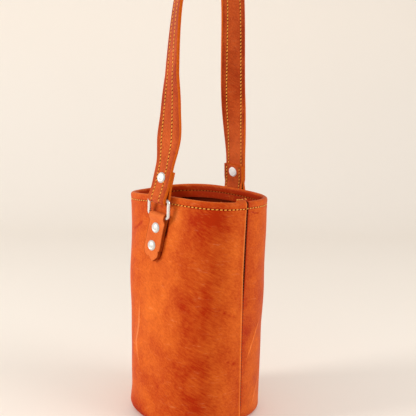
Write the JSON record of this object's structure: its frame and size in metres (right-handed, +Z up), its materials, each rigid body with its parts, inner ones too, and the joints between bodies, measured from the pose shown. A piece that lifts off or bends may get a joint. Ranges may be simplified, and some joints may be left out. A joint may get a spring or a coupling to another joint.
{
  "type": "bottle carrier",
  "caption": "Leather carrier for one bottle: a sewn tube with a round base, open at the top, with a strap handle folded through a metal ring on each side of the rim.",
  "frame": {"origin": "centre of the base, on the floor", "axes": "+Z up towards the handle; the two tabs, rings and strap ends are on -X and +X; the upright seam is close to -Y"},
  "size_m": [0.109, 0.1248, 0.4018],
  "materials": {
    "body_leather": "semi-gloss, mottled tan",
    "strap_leather": "semi-gloss, red-brown tan",
    "inner_leather": "matte, dark red-brown",
    "nickel": "polished nickel plate"
  },
  "bodies": {
    "bag": {"wall_panel": "body_leather", "base_panel": "inner_leather", "patch_left": "inner_leather", "patch_right": "inner_leather", "tab_left": "strap_leather", "tab_right": "strap_leather", "tab_rivet_caps": "nickel", "tab_rivet_posts": "nickel"},
    "ring_left": {"ring_left": "nickel"},
    "ring_right": {"ring_right": "nickel"},
    "strap_end_left": {"end_outer_ply_left": "strap_leather", "end_inner_ply_left": "strap_leather", "strap_rivet_cap_left": "nickel", "strap_rivet_post_left": "nickel", "flex_outer_ply_left": "strap_leather", "flex_inner_ply_left": "strap_leather"},
    "handle": {"handle_outer_ply": "strap_leather", "handle_inner_ply": "strap_leather"},
    "strap_end_right": {"end_outer_ply_right": "strap_leather", "end_inner_ply_right": "strap_leather", "strap_rivet_cap_right": "nickel", "strap_rivet_post_right": "nickel", "flex_outer_ply_right": "strap_leather", "flex_inner_ply_right": "strap_leather"}
  },
  "joints": [
    {"name": "ring_left_swing", "type": "hinge", "parent": "bag", "child": "ring_left", "pos_m": [-0.0484, 0, 0.1824], "axis": [0, 0.9925, 0.1219], "range_deg": [-4, 4]},
    {"name": "strap_left_pivot", "type": "hinge", "parent": "ring_left", "child": "strap_end_left", "pos_m": [-0.04966, -0.00182, 0.19724], "axis": [0, 0.9925, 0.1219], "range_deg": [-4, 4]},
    {"name": "handle_flop", "type": "hinge", "parent": "strap_end_left", "child": "handle", "pos_m": [0, -0.00649, 0.24266], "axis": [1, 0, 0], "range_deg": [-90, 90], "deforming": ["flex_outer_ply_left", "flex_inner_ply_left"]},
    {"name": "strap_right_flex", "type": "hinge", "parent": "handle", "child": "strap_end_right", "pos_m": [0, -0.00649, 0.24266], "axis": [1, 0, 0], "range_deg": [-90, 90], "deforming": ["flex_outer_ply_right", "flex_inner_ply_right"]},
    {"name": "ring_right_swing", "type": "hinge", "parent": "bag", "child": "ring_right", "pos_m": [0.0484, 0, 0.1824], "axis": [0, 0.9925, 0.1219], "range_deg": [-4, 4]}
  ],
  "couplings": [
    {"joint": "strap_left_pivot", "follows": "ring_left_swing", "ratio": -0.97472},
    {"joint": "ring_right_swing", "follows": "ring_left_swing", "ratio": 1},
    {"joint": "strap_right_flex", "follows": "handle_flop", "ratio": -1}
  ]
}
